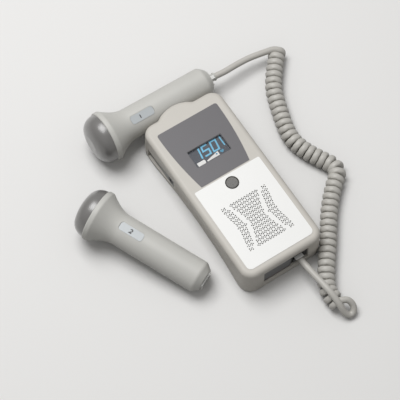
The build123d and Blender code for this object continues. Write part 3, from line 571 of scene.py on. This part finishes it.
def makeCord():
    route = scaled(cord["probeLead"]) + coilPoints() + scaled(cord["loop"] + cord["unitLead"][::-1])
    line = evenly(splineLine(route), cord["step"] * mm)
    length = sum((b - a).length for a, b in zip(line, line[1:]))
    pressed = pressedShare(line)
    piece = tube("curlyCord", line, cord["diameter"] / 2 * mm, cord["sides"], "cord", pressed)
    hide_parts("cord_probe_lead", "cord_coil", "cord_unit_lead")
    tuple(line[-1])
    [tuple(point) for point in line]
    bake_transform(piece)
    print("cord length", round(length, 3), "m,", len(line), "rings")


makeCord()


# print and display figures: thin raised shapes on a plane, sizes in mm
def arc(x, y, radius, start, end, count=9):
    angles = [start + (end - start) * step / (count - 1) for step in range(count)]
    return [(x + radius * cos(angle * tau), y + radius * sin(angle * tau)) for angle in angles]


def strip(line, width, closed=False):
    points, faces = [], []
    spots = [Vector(spot) for spot in line]
    count = len(spots)
    for index, spot in enumerate(spots):
        before = spots[index - 1] if index or closed else None
        after = spots[(index + 1) % count] if index + 1 < count or closed else None
        pairs = [(a, b) for a, b in ((before, spot), (spot, after)) if a is not None and b is not None]
        ways = [(b - a).normalized() for a, b in pairs]
        sides = [Vector((-way.y, way.x)) for way in ways]
        mitre = sides[0] if len(sides) == 1 else (sides[0] + sides[1]) / (1 + sides[0].dot(sides[1]))
        for reach, lift in ((0.5, 0), (-0.5, 0), (-0.5, 1), (0.5, 1)):
            edge = spot + mitre * width * reach
            points.append((edge.x, edge.y, lift))
    for index in range(count if closed else count - 1):
        low, high = index * 4, (index + 1) % count * 4
        faces += [(low + k, low + (k + 1) % 4, high + (k + 1) % 4, high + k) for k in range(4)]
    if not closed:
        faces += [(3, 2, 1, 0), tuple(count * 4 - 4 + k for k in range(4))]
    return points, faces


def block(outline):
    count = len(outline)
    points = [(x, y, lift) for lift in (0, 1) for x, y in outline]
    faces = [tuple(range(count))[::-1], tuple(range(count, 2 * count))]
    faces += [(k, (k + 1) % count, (k + 1) % count + count, k + count) for k in range(count)]
    return points, faces


def addPrint(name, shapes, place, height, finish, body):
    points, faces = [], []
    for shapePoints, shapeFaces in shapes:
        base = len(points)
        points += [place(x, y, lift * height) for x, y, lift in shapePoints]
        faces += [tuple(base + corner for corner in face) for face in shapeFaces]
    piece = addPiece(name, points, faces, finish, smooth=False)
    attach(piece, body)


display = {
    "height": 0.12, "stroke": 1.5, "thinStroke": 1.2,
    "one": [(-8.4, 34.5), (-6.85, 45.4)],
    "five": [(1.9, 45.0), (-3.6, 45.0), (-4.4, 40.2), (1.5, 40.2), (0.8, 35.1), (-5.1, 35.1)],
    "zero": [(4.1, 35.1), (9.7, 35.1), (11.1, 45.0), (5.5, 45.0)],
    "lastOne": [(15.8, 35.4), (15.8, 45.5)],
    "battery": [(-15.7, 29.3), (-8.1, 29.3), (-7.4, 31.2), (-8.1, 33.1), (-15.7, 33.1)],
    "level": [(-6.2, 29.6), (6.9, 29.6), (6.9, 33.9), (-6.2, 30.8)],
    "marker": (4.7, 31.9, 0.8), "heart": (10.5, 31.9, 0.118),
}


def heart(x, y, size):
    angles = [tau * step / 36 for step in range(36)]
    return [(x + size * 16 * sin(t)**3,
             y + size * (13 * cos(t) - 5 * cos(2 * t) - 2 * cos(3 * t) - cos(4 * t)))
            for t in reversed(angles)]


def makeDisplay():
    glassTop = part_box("display_glass")[1][2]

    def onGlass(x, y, lift):
        return Vector((x * mm, y * mm, glassTop + lift * mm))

    def onLevel(x, y, lift):
        return onGlass(x, y, lift + display["height"])

    digits = [strip(display[name], display["stroke"]) for name in ("one", "five")]
    digits.append(strip(display["zero"], display["stroke"], closed=True))
    digits.append(strip(display["lastOne"], display["thinStroke"]))
    addPrint("displayDigits", digits, onGlass, display["height"], "digit", "unit")
    bars = [block(display["battery"]), block(display["level"])]
    addPrint("displayBars", bars, onGlass, display["height"], "white", "unit")
    x, y, radius = display["marker"]
    marker = block(arc(x, y, radius, 0, 15 / 16, 16))
    addPrint("displayMarker", [marker], onLevel, display["height"], "symbol", "unit")
    addPrint("displayHeart", [block(heart(*display["heart"]))], onGlass, display["height"], "symbol", "unit")


# the numeral on each probe's tag, read with the probe's head on the left
tagNumerals = {"stroke": 0.95, "height": 0.05, "shift": {"docked": -2.0, "spare": -0.4}}
numeralLines = {
    "docked": [(0, 1.75), (0, -1.75)],
    "spare": arc(0, 0.7, 1.05, 0.45, -0.1) + [(-1.1, -1.75), (1.25, -1.75)],
}


def makeTagNumeral(probe):
    data = nodes[probe + "_tag"].data
    corners = [vertex.co for vertex in data.vertices]
    centre = sum(corners, Vector()) / len(corners)
    up = max(data.polygons, key=lambda face: face.area * face.normal.z).normal.copy()
    centre += up * max((corner - centre).dot(up) for corner in corners)
    low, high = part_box(probe + "_face")
    right = centre - (Vector(low) + Vector(high)) / 2
    right = (right - up * right.dot(up)).normalized()
    over = up.cross(right)
    middle = centre + right * tagNumerals["shift"][probe] * mm

    def onTag(x, y, lift):
        return middle + (right * x + over * y + up * lift) * mm

    numeral = strip(numeralLines[probe], tagNumerals["stroke"])
    addPrint(probe + "TagNumeral", [numeral], onTag, tagNumerals["height"], "tagPrint", probe + "_probe")


makeDisplay()
for probe in ("docked", "spare"):
    makeTagNumeral(probe)
print("display figures and tag numerals made")
